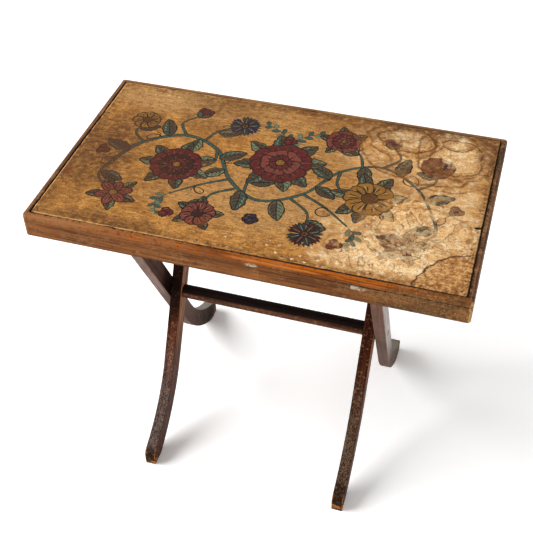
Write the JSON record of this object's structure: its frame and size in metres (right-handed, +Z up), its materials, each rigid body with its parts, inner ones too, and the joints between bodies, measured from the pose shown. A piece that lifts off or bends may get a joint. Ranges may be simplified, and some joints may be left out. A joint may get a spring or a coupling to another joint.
{
  "type": "folding side table",
  "caption": "Folding side table: a flush painted panel in a thin mitred frame, on crossed sabre legs that close like scissors about a round rod while the top tilts up.",
  "frame": {"origin": "on the floor, below the middle of the whole open table's outline", "axes": "+Z up, +X along the long side of the top, -Y the front, where the outer legs' heads pivot"},
  "size_m": [0.61, 0.3752, 0.48],
  "materials": {
    "painted_panel": "aged paint",
    "rail_wood": "worn stain",
    "leg_wood": "worn dark stain",
    "plain_wood": "bare",
    "old_iron": "dull"
  },
  "bodies": {
    "inner_frame": {"left_inner_leg": "leg_wood", "right_inner_leg": "leg_wood", "stretcher_rod": "leg_wood", "top_bar": "leg_wood", "leg_pivot_screws": "old_iron", "leg_washers": "old_iron", "bar_pins": "old_iron"},
    "outer_legs": {"left_outer_leg": "leg_wood", "right_outer_leg": "leg_wood"},
    "table_top": {"top_panel": "painted_panel", "front_rail": "rail_wood", "back_rail": "rail_wood", "left_end_rail": "rail_wood", "right_end_rail": "rail_wood", "front_ledger": "plain_wood", "back_ledger": "plain_wood", "left_ledger": "plain_wood", "right_ledger": "plain_wood", "panel_pins": "old_iron", "mitre_nails": "old_iron", "left_bearer": "plain_wood", "right_bearer": "plain_wood", "left_seat_cleat": "plain_wood", "right_seat_cleat": "plain_wood", "bearer_screws": "old_iron", "cleat_screws": "old_iron", "top_pivot_screws": "old_iron", "top_pivot_washers": "old_iron"}
  },
  "joints": [
    {"name": "top_tilt", "type": "hinge", "parent": "outer_legs", "child": "table_top", "pos_m": [0, -0.10651, 0.424], "axis": [1, 0, 0], "range_deg": [0, 117]},
    {"name": "leg_fold", "type": "hinge", "parent": "inner_frame", "child": "outer_legs", "pos_m": [0, -0.00715, 0.229], "axis": [-1, 0, 0], "range_deg": [0, 54]}
  ],
  "couplings": [
    {"joint": "leg_fold", "follows": "top_tilt", "ratio": 0.46154}
  ]
}
